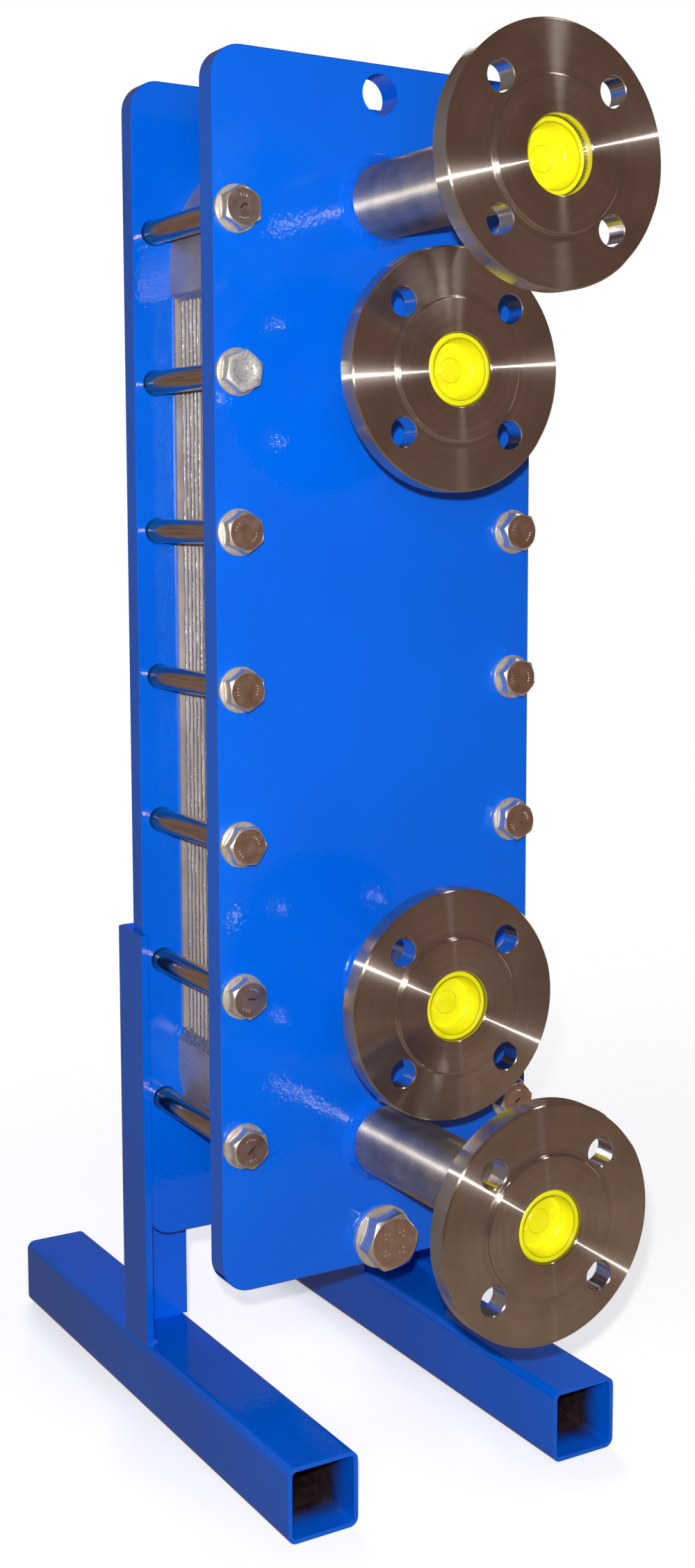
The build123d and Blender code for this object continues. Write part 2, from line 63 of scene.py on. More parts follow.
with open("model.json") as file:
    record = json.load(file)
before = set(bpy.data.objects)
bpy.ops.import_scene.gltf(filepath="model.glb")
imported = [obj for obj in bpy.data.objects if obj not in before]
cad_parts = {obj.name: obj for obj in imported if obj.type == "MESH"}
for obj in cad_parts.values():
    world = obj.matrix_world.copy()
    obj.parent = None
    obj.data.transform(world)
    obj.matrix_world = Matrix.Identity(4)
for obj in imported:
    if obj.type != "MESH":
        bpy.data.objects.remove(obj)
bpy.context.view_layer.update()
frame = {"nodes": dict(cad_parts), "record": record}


# ---- node materials -----------------------------------------------------------------------

class Shader:
    """A principled material and short ways to add nodes to it."""

    def __init__(self, name, **constants):
        self.material = bpy.data.materials.new(name)
        self.material.use_nodes = True
        self.tree = self.material.node_tree
        self.surface = self.tree.nodes["Principled BSDF"]
        for socket, value in constants.items():
            self.surface.inputs[socket.replace("_", " ")].default_value = value
        self.place = self.tree.nodes.new("ShaderNodeTexCoord").outputs["Object"]
        self.normal = None

    def node(self, kind, sockets=(), **settings):
        """A new node. Its sockets get links or plain values, and its settings are set first."""
        new = self.tree.nodes.new(kind)
        for key, value in settings.items():
            setattr(new, key, value)
        for key, value in dict(sockets).items():
            if isinstance(value, bpy.types.NodeSocket):
                self.tree.links.new(value, new.inputs[key])
            else:
                new.inputs[key].default_value = value
        return new

    def stretched(self, scale):
        """Object coordinates times a scale for each axis."""
        sockets = {"Vector": self.place, "Scale": scale}
        return self.node("ShaderNodeMapping", sockets).outputs["Vector"]

    def noise(self, scale, detail=2.0, vector=None, rough=0.5):
        sockets = {"Vector": vector or self.place, "Scale": scale, "Detail": detail}
        sockets["Roughness"] = rough
        return self.node("ShaderNodeTexNoise", sockets).outputs["Fac"]

    def span(self, value, from_low, from_high, to_low, to_high, smooth=False):
        """The value carried from one range to another, and held at its ends."""
        kind = "SMOOTHSTEP" if smooth else "LINEAR"
        sockets = {
            "Value": value,
            "From Min": from_low,
            "From Max": from_high,
            "To Min": to_low,
            "To Max": to_high,
        }
        node = self.node("ShaderNodeMapRange", sockets, interpolation_type=kind)
        return node.outputs["Result"]

    def math(self, operation, a, b=0.0):
        return self.node("ShaderNodeMath", {0: a, 1: b}, operation=operation).outputs[0]

    def blend(self, factor, a, b):
        """A colour between a and b. Each is a colour socket or three numbers."""
        mix = self.node("ShaderNodeMix", data_type="RGBA")
        for socket, value in ((mix.inputs["Factor"], factor), (mix.inputs[6], a), (mix.inputs[7], b)):
            if isinstance(value, bpy.types.NodeSocket):
                self.tree.links.new(value, socket)
            else:
                socket.default_value = (*value, 1)
        return mix.outputs[2]

    def tint(self, value, low, high, share, a, b):
        """Colour a, and as the value goes from low to high, up to that share of colour b."""
        return self.blend(self.span(value, low, high, 0, share), a, b)

    def bump(self, height, depth):
        """Adds relief of that depth, in metres, to the relief that is there already."""
        sockets = {"Height": height, "Distance": depth, "Strength": 1.0}
        if self.normal:
            sockets["Normal"] = self.normal
        self.normal = self.node("ShaderNodeBump", sockets).outputs["Normal"]

    def done(self, color=None, rough=None):
        if color:
            self.tree.links.new(color, self.surface.inputs["Base Color"])
        if rough:
            self.tree.links.new(rough, self.surface.inputs["Roughness"])
        if self.normal:
            self.tree.links.new(self.normal, self.surface.inputs["Normal"])
        return self.material


def blue_enamel(name="blue_enamel", bare_and_shade=None):
    """Glossy oven enamel with orange peel and a slow change of film thickness.

    The mask function, if given, makes the 0 to 1 mask of what the paint didn't reach; there the colour
    goes near black, mostly painted shade with a rust mottle.
    """
    s = Shader(name, Metallic=0.0, IOR=1.5)
    film = s.noise(7.0, 3.0)
    speck = s.noise(420.0, 2.0)
    color = s.tint(film, 0.35, 0.65, 1, (0.0, 0.124, 0.77), (0.0, 0.143, 0.85))
    color = s.tint(speck, 0.66, 0.8, 0.25, color, (0.01, 0.09, 0.55))
    rough = s.span(s.noise(22.0, 3.0), 0.3, 0.7, 0.015, 0.04)
    if bare_and_shade:
        mask = bare_and_shade(s)
        patches = s.span(s.noise(90.0, 4.0), 0.35, 0.7, 0, 1)
        # Near-black mottle for the unpainted inside of the tubes: painted shade, with a little rust
        # colour.
        rust_and_shade = s.blend(patches, (0.012, 0.006, 0.010), (0.040, 0.022, 0.024))
        color = s.blend(mask, color, rust_and_shade)
        rough = s.math("ADD", rough, s.math("MULTIPLY", mask, 0.5))
    s.bump(s.noise(70.0, 1.0), 0.0001)
    s.bump(s.noise(310.0, 1.0), 0.00012)
    s.bump(s.noise(700.0, 1.0), 0.00005)
    return s.done(color, rough)


def tube_inside(s):
    """The feet's inner walls, from a little way in, as a mask for blue_enamel: it rises deeper into the
    tube, as painted shade.
    """
    low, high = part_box("right_foot")
    x, y, z = (s.node("ShaderNodeSeparateXYZ", {"Vector": s.place}).outputs[axis] for axis in "XYZ")
    middle_x, middle_z = (low.x + high.x) / 2, (low.z + high.z) / 2
    off_x = s.math("ABSOLUTE", s.math("SUBTRACT", s.math("ABSOLUTE", x), middle_x))
    off_z = s.math("ABSOLUTE", s.math("SUBTRACT", z, middle_z))
    inside = (high.x - low.x) / 2 - FOOT_WALL
    inner = s.math("LESS_THAN", s.math("MAXIMUM", off_x, off_z), inside + 0.3 * MM)
    off_y = s.math("ABSOLUTE", s.math("SUBTRACT", y, (low.y + high.y) / 2))
    reach = s.math("ADD", off_y, s.span(s.noise(40.0, 3.0), 0.3, 0.7, -3 * MM, 3 * MM))
    end = (high.y - low.y) / 2
    return s.math("MULTIPLY", inner, s.span(reach, end - 34 * MM, end - 7 * MM, 1, 0, smooth=True))


def second_gloss(s, rough, share, stretch=0.0):
    """Mixes in a share of another gloss.

    A stretched one has grooves round the Y axis through the middle of the piece's box, and they
    draw a highlight out across themselves.
    """
    sockets = {"Roughness": rough, "Anisotropy": stretch}
    sockets["Color"] = s.surface.inputs["Base Color"].links[0].from_socket
    if s.normal:
        sockets["Normal"] = s.normal
    if stretch:
        round_axis = s.node("ShaderNodeTangent", direction_type="RADIAL", axis="Y")
        sockets["Tangent"] = round_axis.outputs["Tangent"]
        s.tree.links.new(round_axis.outputs["Tangent"], s.surface.inputs["Tangent"])
    gloss = s.node("ShaderNodeBsdfAnisotropic", sockets)
    mix = s.node("ShaderNodeMixShader", {0: share, 1: s.surface.outputs[0], 2: gloss.outputs[0]})
    s.tree.links.new(mix.outputs[0], s.tree.nodes["Material Output"].inputs["Surface"])
    return s.material


def generated_radius(s):
    """How far a point is from the Y axis through the piece's middle. At its rim this is 0.5."""
    generated = s.node("ShaderNodeTexCoord").outputs["Generated"]
    sockets = {"Vector": generated, "Location": (-0.5, 0.0, -0.5), "Scale": (1, 0, 1)}
    centred = s.node("ShaderNodeMapping", sockets).outputs["Vector"]
    return s.node("ShaderNodeVectorMath", {0: centred}, operation="LENGTH").outputs["Value"]


def turned_steel():
    """Faced on a lathe, in a warm dark grey."""
    s = Shader("turned_steel", Metallic=1.0, Anisotropic=1.0, Anisotropic_Rotation=0.25)
    line = s.node("ShaderNodeCombineXYZ", {"X": generated_radius(s)}).outputs["Vector"]
    fine = s.noise(260.0, 3.0, line, 0.7)
    broad = s.noise(34.0, 2.0, line)
    smudge = s.noise(26.0, 4.0)
    fleck = s.noise(900.0, 2.0)
    color = s.tint(broad, 0.3, 0.7, 1, (0.64, 0.585, 0.53), (0.78, 0.72, 0.66))
    color = s.tint(smudge, 0.35, 0.7, 0.75, color, (0.50, 0.43, 0.38))
    color = s.tint(fleck, 0.68, 0.8, 0.35, color, (0.25, 0.2, 0.17))
    rough = s.math("ADD", s.span(fine, 0.3, 0.7, 0.15, 0.20), s.span(smudge, 0.3, 0.8, 0, 0.06))
    s.bump(fine, 0.00001)
    s.done(color, rough)
    return second_gloss(s, 0.2, 0.2, 0.9)


def drilled_steel():
    """Walls of the bolt holes: bright, with the tool's rings."""
    s = Shader("drilled_steel", Metallic=1.0)
    rings = s.noise(60.0, 3.0, s.stretched((1, 45, 1)), 0.6)
    color = s.tint(rings, 0.35, 0.7, 1, (0.72, 0.69, 0.66), (0.52, 0.48, 0.45))
    s.bump(rings, 0.00003)
    return s.done(color, s.span(rings, 0.3, 0.7, 0.12, 0.26))


def pipe_steel():
    """Belt-polished tube, satin, with dark draw marks, and near the front plate gritty metal with pale
    specks that are painted sparkle highlights.
    """
    s = Shader("pipe_steel", Metallic=0.78, Anisotropic=0.7, Anisotropic_Rotation=0.25)
    plate_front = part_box("front_plate")[0].y
    y = s.node("ShaderNodeSeparateXYZ", {"Vector": s.place}).outputs["Y"]
    lines = s.noise(900.0, 3.0, s.stretched((1, 0.03, 1)), 0.6)
    grit = s.noise(700.0, 3.0)
    cloud = s.noise(60.0, 4.0)
    color = s.tint(cloud, 0.3, 0.7, 1, (0.44, 0.40, 0.34), (0.60, 0.55, 0.47))
    color = s.tint(lines, 0.45, 0.75, 0.45, color, (0.32, 0.29, 0.26))
    near = s.span(y, plate_front - 28 * MM, plate_front - 9 * MM, 0, 1, smooth=True)
    # Pale specks on the grit near the front plate: painted sparkle highlight.
    grit_and_sparkle = s.math("MULTIPLY", near, s.span(grit, 0.45, 0.62, 0.0, 1.0))
    color = s.blend(s.math("MULTIPLY", grit_and_sparkle, 0.6), color, (0.85, 0.83, 0.80))
    s.bump(lines, 0.00002)
    s.bump(grit, 0.00003)
    s.done(color, s.span(cloud, 0.3, 0.7, 0.30, 0.40))
    return second_gloss(s, 0.487, 0.55, 0.7)


def sheet_steel(name="sheet_steel", light=1.0):
    """Rolled sheet of the hoods and the pack, dull and browned a little by the welding. light scales
    every colour: below 1 it is painted shade.
    """
    s = Shader(name, Metallic=0.62)
    grain = s.noise(700.0, 3.0, s.stretched((1, 0.06, 1)), 0.6)
    cloud = s.noise(28.0, 4.0)
    dark, pale, streak = (
        tuple(light * part for part in color)
        for color in ((0.57, 0.50, 0.44), (0.71, 0.65, 0.60), (0.33, 0.28, 0.24))
    )
    color = s.tint(cloud, 0.35, 0.7, 1, dark, pale)
    color = s.tint(grain, 0.5, 0.8, 0.4, color, streak)
    s.bump(grain, 0.00002)
    return s.done(color, s.span(cloud, 0.3, 0.7, 0.40, 0.52))


def weld_steel():
    """Unpainted weld metal, rough and grey."""
    s = Shader("weld_steel", Metallic=0.7)
    lumps = s.noise(620.0, 4.0)
    cloud = s.noise(140.0, 3.0)
    color = s.tint(lumps, 0.35, 0.7, 1, (0.54, 0.51, 0.50), (0.25, 0.23, 0.22))
    color = s.tint(cloud, 0.55, 0.75, 0.5, color, (0.32, 0.27, 0.23))
    s.bump(lumps, 0.0004)
    return s.done(color, s.span(lumps, 0.3, 0.7, 0.34, 0.48))


def zinc_face():
    """The pressed faces of the bolt heads, smoother and browner than their sides."""
    s = Shader("zinc_face", Metallic=1.0)
    cloud = s.noise(150.0, 4.0)
    pits = s.noise(1300.0, 3.0)
    color = s.tint(cloud, 0.35, 0.65, 1, (0.80, 0.56, 0.42), (0.84, 0.70, 0.60))
    color = s.tint(pits, 0.6, 0.75, 0.4, color, (0.40, 0.28, 0.20))
    s.bump(s.noise(420.0, 2.0), 0.00006)
    s.done(color, s.span(cloud, 0.3, 0.7, 0.31, 0.41))
    return second_gloss(s, 0.14, 0.3)


def zinc_head(name="zinc_head", bright=0.0):
    """Sides of bolt heads, and washers: forged and zinc plated, from warm to a dull, mottled white."""
    s = Shader(name, Metallic=0.75 - 0.15 * bright)
    pits = s.noise(1500.0, 3.0)
    cloud = s.noise(160.0, 4.0)
    mottle = s.noise(620.0, 3.0)
    warm, pale, dull = (0.80, 0.72, 0.62), (0.88, 0.87, 0.83), (0.42, 0.45, 0.46)
    color = s.blend(s.span(cloud, 0.35, 0.65, 0.8 * bright, 1), warm, pale)
    color = s.tint(mottle, 0.5, 0.66, 0.8 * bright, color, dull)
    color = s.tint(pits, 0.6, 0.75, 0.35, color, (0.46, 0.38, 0.31))
    s.bump(s.noise(420.0, 2.0), 0.00008)
    s.bump(pits, 0.00002)
    haze = 0.12 * bright
    s.done(color, s.span(cloud, 0.3, 0.7, 0.33 + haze, 0.43 + haze))
    return second_gloss(s, 0.13, 0.5 - 0.25 * bright)


def zinc_shank():
    """Ground shanks, smooth and brown."""
    s = Shader("zinc_shank", Metallic=1.0)
    lines = s.noise(500.0, 3.0, s.stretched((1, 0.04, 1)))
    color = s.tint(lines, 0.4, 0.7, 1, (0.72, 0.47, 0.32), (0.48, 0.28, 0.18))
    s.bump(lines, 0.00001)
    return s.done(color, s.span(lines, 0.3, 0.7, 0.15, 0.24))


def yellow_plastic():
    """Soft polyethylene of the transit plugs, with painted shade darkening three rings at its creases.
    """
    s = Shader("yellow_plastic", Metallic=0.0, IOR=1.5, Subsurface_Weight=0.06, Subsurface_Scale=0.001)
    s.surface.inputs["Subsurface Radius"].default_value = (1.0, 0.7, 0.1)
    cloud = s.noise(90.0, 3.0)
    color = s.tint(cloud, 0.3, 0.7, 1, (0.80, 0.76, 0.006), (0.86, 0.84, 0.012))
    radius = generated_radius(s)
    # Olive rings at three radii: painted shade in the creases of the cup.
    for shade_radius, half, depth in ((0.425, 0.011, 0.75), (0.380, 0.010, 0.35), (0.170, 0.008, 0.5)):
        off = s.math("ABSOLUTE", s.math("SUBTRACT", radius, shade_radius))
        crease_shade = s.span(off, 0.4 * half, half, depth, 0, smooth=True)
        color = s.blend(crease_shade, color, (0.42, 0.36, 0.0))
    s.bump(s.noise(300.0, 2.0), 0.00008)
    return s.done(color, s.span(cloud, 0.3, 0.7, 0.25, 0.36))


def marker_ink():
    """Dry felt-tip ink, uneven."""
    s = Shader("marker_ink", Metallic=0.0)
    fade = s.noise(900.0, 2.0)
    color = s.tint(fade, 0.4, 0.7, 1, (0.008, 0.006, 0.006), (0.05, 0.04, 0.035))
    return s.done(color, s.span(fade, 0.3, 0.7, 0.35, 0.6))


ENAMEL = blue_enamel()
TUBE_ENAMEL = blue_enamel("blue_enamel_tube", tube_inside)
TURNED = turned_steel()
DRILLED = drilled_steel()
PIPE = pipe_steel()
SHEET = sheet_steel()
# The side spacers' copy of the sheet at 0.22 of its brightness: painted shade.
SHADED_SHEET = sheet_steel("sheet_steel_shaded", 0.22)
WELD = weld_steel()
HEAD = zinc_head()
FACE = zinc_face()
BRIGHT_HEAD = zinc_head("zinc_head_bright", 1.0)
WASHER = zinc_head("zinc_washer", 0.5)
SHANK = zinc_shank()
PLASTIC = yellow_plastic()
INK = marker_ink()


# ---- mesh building ------------------------------------------------------------------------

def make(name, verts, faces, materials, slot, body=BODY, sharp=35.0, indices=None):
    """A piece from points and faces, shaded smooth except across edges sharper than that angle."""
    mesh = bpy.data.meshes.new(name)
    mesh.from_pydata(verts, [], faces)
    for material in materials:
        mesh.materials.append(material)
    if indices:
        mesh.polygons.foreach_set("material_index", indices)
    work = bmesh.new()
    work.from_mesh(mesh)
    bmesh.ops.remove_doubles(work, verts=work.verts, dist=1e-6)
    bmesh.ops.recalc_face_normals(work, faces=work.faces)
    work.to_mesh(mesh)
    work.free()
    mesh.polygons.foreach_set("use_smooth", [True] * len(mesh.polygons))
    mesh.set_sharp_from_angle(angle=math.radians(sharp))
    piece = bpy.data.objects.new(name, mesh)
    bpy.context.scene.collection.objects.link(piece)
    if body:
        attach(piece, body)
    return piece


def joined(parts):
    """One list of points, faces and material indices out of several (points, faces, index)."""
    verts, faces, indices = [], [], []
    for part_verts, part_faces, index in parts:
        base = len(verts)
        verts += part_verts
        faces += [tuple(i + base for i in face) for face in part_faces]
        indices += [index] * len(part_faces)
    return verts, faces, indices


def skin(rows, cap_start=False, cap_end=False):
    """Quads between rings of points."""
    count = len(rows[0])
    verts = [point for row in rows for point in row]
    faces = []
    for r in range(len(rows) - 1):
        for i in range(count):
            j = (i + 1) % count
            faces.append((r * count + i, r * count + j, (r + 1) * count + j, (r + 1) * count + i))
    if cap_start:
        faces.append(tuple(range(count)))
    if cap_end:
        faces.append(tuple(range((len(rows) - 1) * count, len(rows) * count)))
    return verts, faces


def ring(x, z, radius, y, segments):
    """Points round an axis along Y. The radius may be a function of the angle."""
    points = []
    for i in range(segments):
        angle = math.tau * i / segments
        r = radius(angle) if callable(radius) else radius
        points.append((x + r * math.cos(angle), y, z + r * math.sin(angle)))
    return points


def turned_rows(x, z, pairs, segments):
    """Rings round an axis along Y, from (radius, y) pairs."""
    return [ring(x, z, radius, y, segments) for radius, y in pairs]


def lathe(x, z, profile, segments=LATHE_SEGMENTS):
    """A closed solid of revolution round an axis along Y, from (radius, y) pairs."""
    rows = [ring(x, z, max(radius, 1e-5), y, segments) for radius, y in profile]
    return skin(rows, cap_start=profile[0][0] < 1e-6, cap_end=profile[-1][0] < 1e-6)


def rounded(profile, radius, steps=3, closed=False):
    """The same (radius, y) line with its corners rounded."""
    count = len(profile)
    out = []
    for i, corner in enumerate(profile):
        if not closed and i in (0, count - 1):
            out.append(corner)
            continue
        here = Vector(corner)
        before = Vector(profile[i - 1]) - here
        after = Vector(profile[(i + 1) % count]) - here
        reach = min(radius, 0.45 * before.length, 0.45 * after.length)
        start = here + before.normalized() * reach
        end = here + after.normalized() * reach
        for step in range(steps + 1):
            t = step / steps
            point = start * (1 - t) ** 2 + here * 2 * t * (1 - t) + end * t ** 2
            out.append((point.x, point.y))
    return out


def wobble(x, y=0.0, z=0.0):
    """Smooth noise between about -1 and 1."""
    return noise.noise(Vector((x, y, z)))


# ---- carried-over CAD nodes ---------------------------------------------------------------

CAD_LOOKS = {
    "front_plate": ENAMEL,
    "rear_plate": ENAMEL,
    "left_foot": TUBE_ENAMEL,
    "right_foot": TUBE_ENAMEL,
    "left_leg": ENAMEL,
    "right_leg": ENAMEL,
    "top_hood": SHEET,
    "bottom_hood": SHEET,
    "pack_front_sheet": SHEET,
    "pack_rear_sheet": SHEET,
    "side_spacers": SHADED_SHEET,
    "port_rings": SHEET,
}
for port in PORTS:
    CAD_LOOKS[f"{port}_nozzle"] = PIPE
for name in frame["nodes"]:
    if name.startswith("cassette_"):
        CAD_LOOKS[name] = SHEET
for name, material in CAD_LOOKS.items():
    slots = frame["nodes"][name].data.materials
    slots.clear()
    slots.append(material)


# ---- flanges ------------------------------------------------------------------------------

def axis_of(node):
    """Where the middle of a node's box is, seen from the front."""
    low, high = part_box(node)
    return (low.x + high.x) / 2, (low.z + high.z) / 2


def bolt_pattern(port):
    """The sizes that the record gives for a flange's holes."""
    for mount in frame["record"]["mounts"]:
        if mount["name"] == f"{port}_bolt_holes":
            return mount["dims"]
    raise KeyError(port)


def flange_body(node, bore):
    """The turned blank's section, with every corner rounded."""
    low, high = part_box(node)
    rim = (high.x - low.x) / 2
    face, back = low.y, high.y
    ledge = face + RAISED_STEP
    chamfer, lead = 1.0 * MM, 0.7 * MM
    profile = [
        (bore, back),
        (rim - chamfer, back),
        (rim, back - chamfer),
        (rim, ledge + chamfer),
        (rim - chamfer, ledge),
        (RAISED_R + 0.6 * MM, ledge),
        (RAISED_R, ledge - 0.5 * MM),
        (RAISED_R, face + lead),
        (RAISED_R - lead, face),
        (bore + lead, face),
        (bore, face + lead),
    ]
    return rounded(profile, 0.3 * MM, closed=True)


def hole_cutter(x, z, radius, front, back):
    """A drill shape with a small countersink at each face."""
    lead = 0.6 * MM
    over = 2 * MM
    profile = [
        (0, front - over),
        (radius + lead + over, front - over),
        (radius, front + lead),
        (radius, back - lead),
        (radius + lead + over, back + over),
        (0, back + over),
    ]
    return lathe(x, z, profile, HOLE_SEGMENTS)


def boolean_cut(piece, cutter):
    """Takes the cutter out of the piece, and leaves the cutter's material on the new walls."""
    cut = piece.modifiers.new("holes", "BOOLEAN")
    cut.operation = "DIFFERENCE"
    cut.solver = "EXACT"
    cut.object = cutter
    cut.material_mode = "TRANSFER"
    bpy.context.view_layer.update()
    graph = bpy.context.evaluated_depsgraph_get()
    mesh = bpy.data.meshes.new_from_object(piece.evaluated_get(graph))
    piece.modifiers.clear()
    piece.data = mesh
    mesh.polygons.foreach_set("use_smooth", [True] * len(mesh.polygons))
    mesh.set_sharp_from_angle(angle=math.radians(25))
    bpy.data.objects.remove(cutter)


def build_flange(port):
    """A drilled flange. The bore and the raised face's step have the look of the bolt holes."""
    node = f"{port}_flange"
    x, z = axis_of(node)
    low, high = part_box(node)
    dims = bolt_pattern(port)
    nozzle_low, nozzle_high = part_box(f"{port}_nozzle")
    bore = (nozzle_high.x - nozzle_low.x) / 2 - BORE_INSET
    profile = flange_body(node, bore)
    rows = turned_rows(x, z, profile + profile[:1], FLANGE_SEGMENTS)
    verts, faces = skin(rows)
    indices = []
    for here, after in zip(profile, profile[1:] + profile[:1]):
        along_axis = abs(here[0] - after[0]) < 0.05 * MM
        inside_rim = here[0] < RAISED_R + 6 * MM
        indices += [1 if along_axis and inside_rim else 0] * FLANGE_SEGMENTS
    looks = [TURNED, DRILLED]
    piece = make(f"{port}_flange_turned", verts, faces, looks, "turned_steel", indices=indices)
    cutters = []
    for corner in range(int(dims["count"])):
        angle = math.radians(45 + 90 * corner)
        reach = dims["pcd_mm"] / 2 * MM
        hole_x, hole_z = x + reach * math.cos(angle), z + reach * math.sin(angle)
        hole = hole_cutter(hole_x, hole_z, dims["hole_r_mm"] * MM, low.y + RAISED_STEP, high.y)
        cutters.append((*hole, 0))
    verts, faces, _ = joined(cutters)
    cutter = make("cutter", verts, faces, [DRILLED], None, body=None)
    boolean_cut(piece, cutter)
    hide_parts(node)


for port in PORTS:
    build_flange(port)


# ---- transit plugs ------------------------------------------------------------------------

def build_plug(port):
    """A cup with a thick lip, a floor with a round boss, and ribs across the floor."""
    node = f"{port}_plug"
    x, z = axis_of(node)
    low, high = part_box(node)
    outer = (high.x - low.x) / 2
    front, back = low.y, high.y
    lip, cup = 3.4 * MM, outer - 3.8 * MM
    floor = front + 12 * MM
    under_floor = floor + 2.0 * MM
    profile = [
        (0, floor - 0.9 * MM),
        (7.2 * MM, floor - 0.9 * MM),
        (7.8 * MM, floor),
        (cup - 2.2 * MM, floor),
        (cup - 1.0 * MM, floor - 1.4 * MM),
        (cup, front + 1.6 * MM),
        (outer - lip, front + 0.5 * MM),
        (outer - lip + 0.7 * MM, front),
        (outer - 0.9 * MM, front),
        (outer, front + 0.9 * MM),
        (outer, front + 3.6 * MM),
        (outer - 0.5 * MM, front + 4.2 * MM),
        (outer - 0.5 * MM, back - 1.5 * MM),
        (outer - 1.2 * MM, back),
        (outer - 2.2 * MM, back),
        (outer - 2.2 * MM, under_floor + 1.0 * MM),
        (outer - 3.2 * MM, under_floor),
        (0, under_floor),
    ]
    parts = [(*lathe(x, z, rounded(profile, 0.5 * MM)), 0)]
    for rib in range(4):
        angle = math.radians(20 + 90 * rib)
        along = Vector((math.cos(angle), 0, math.sin(angle)))
        across = Vector((-along.z, 0, along.x)) * 0.45 * MM
        start = Vector((x, 0, z)) + along * 7.4 * MM
        end = Vector((x, 0, z)) + along * (cup - 1.2 * MM)
        rows = []
        for at, depth in ((start, 0.7 * MM), (end, 1.0 * MM)):
            top = Vector((0, floor - depth, 0))
            foot = Vector((0, floor + 0.3 * MM, 0))
            rows.append([at + foot - across * 1.4, at + top - across * 0.6,
                         at + top + across * 0.6, at + foot + across * 1.4])
        parts.append((*skin(rows, cap_start=True, cap_end=True), 0))
    verts, faces, _ = joined(parts)
    piece = make(f"{port}_plug_moulded", verts, faces, [PLASTIC], "yellow_plastic", body=node)
    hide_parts(node)


for port in PORTS:
    build_plug(port)


# ---- welds --------------------------------------------------------------------------------

def ring_bead(x, z, pipe_r, corner_y, leg, away, seed, lump, fill):
    """A fillet weld round a pipe. It climbs from the corner along the pipe in direction away.

    Its face is hollow when fill is 0 and flat when fill is 1. lump is how uneven it is.
    """
    segments, steps = 320, 12
    rows = []
    for i in range(segments):
        angle = math.tau * i / segments
        arc = angle * (pipe_r + leg / 2)
        wave = arc / (0.34 * leg)
        size = leg * (1 + lump * 0.16 * wobble(math.cos(angle) * 4 + seed, math.sin(angle) * 4))
        row = [(pipe_r - RING_SINK, corner_y - away * RING_SINK)]
        row.append((pipe_r + size, corner_y - away * RING_SINK))
        for step in range(steps + 1):
            turn = math.pi / 2 * step / steps
            both = math.cos(turn) + math.sin(turn)
            hollow = both - math.sqrt(max(0.0, both * both - 1))
            ripple = abs(math.sin(wave + 1.1 * math.sin(turn)))
            ripple += 0.6 * wobble(arc / leg * 2.2, step * 0.4, seed)
            share = hollow + fill * (1 / both - hollow) + lump * 0.05 * math.sin(2 * turn) * ripple
            radius = size * share
            row.append((pipe_r + radius * math.cos(turn), corner_y + away * radius * math.sin(turn)))
        row.append((pipe_r - RING_SINK, corner_y + away * size))
        rows.append([(x + r * math.cos(angle), y, z + r * math.sin(angle)) for r, y in row])
    return skin(rows + rows[:1])


def straight_bead(start, end, side_a, side_b, leg, seed):
    """A fillet weld from start to end, in the corner between directions side_a and side_b."""
    start, end = Vector(start), Vector(end)
    side_a, side_b = Vector(side_a), Vector(side_b)
    length = (end - start).length
    along = (end - start).normalized()
    spacing, steps = 0.7 * MM, 8
    count = max(8, int(length / spacing))
    rows = []
    for i in range(count + 1):
        t = i / count
        at = t * length
        taper = min(1.0, math.sqrt(max(0.0, min(at, length - at)) / (0.6 * leg) + 0.04))
        size = leg * taper * (0.92 + 0.16 * wobble(at / leg * 1.3, seed))
        base = start + along * at
        row = [base - (side_a + side_b) * BEAD_SINK, base + side_a * size - side_b * BEAD_SINK]
        for step in range(steps + 1):
            turn = math.pi / 2 * step / steps
            scallop = abs(math.sin(at / (0.42 * leg) * math.pi / 2 + 0.8 * math.sin(2 * turn)))
            bulge = 0.74 + 0.10 * scallop + 0.06 * wobble(at / MM * 0.7, step * 0.5, seed)
            edge = abs(math.cos(2 * turn))
            radius = size * (edge + (1 - edge) * bulge)
            row.append(base + side_a * radius * math.cos(turn) + side_b * radius * math.sin(turn))
        row.append(base + side_b * size - side_a * BEAD_SINK)
        rows.append(row)
    return skin(rows, cap_start=True, cap_end=True)


plate_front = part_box("front_plate")[0].y
root_welds, flange_welds = [], []
for seed, port in enumerate(PORTS):
    x, z = axis_of(f"{port}_nozzle")
    low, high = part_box(f"{port}_nozzle")
    pipe_r = (high.x - low.x) / 2
    verts, faces = ring_bead(x, z, pipe_r, plate_front, 6.5 * MM, -1, 3.1 * seed, 0.8, 0.5)
    root_welds.append(make(f"{port}_root_weld", verts, faces, [ENAMEL], "blue_enamel"))
    flange_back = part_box(f"{port}_flange")[1].y
    verts, faces = ring_bead(x, z, pipe_r, flange_back, 3.8 * MM, 1, 3.1 * seed + 7, 1.3, 1.0)
    flange_welds.append(make(f"{port}_flange_weld", verts, faces, [WELD], "pipe_steel"))
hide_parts("nozzle_root_welds")
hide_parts("flange_welds")

LEG_WALL = 5 * MM
PLATE_BEAD, FOOT_BEAD = 5 * MM, 4.5 * MM     # sizes of the beads on the rear plate and on a foot
STITCH, STITCH_STEP = 27 * MM, 92 * MM       # length of a bead on the rear plate, and their spacing
FORWARD, BACKWARD, UP = (0, -1, 0), (0, 1, 0), (0, 0, 1)


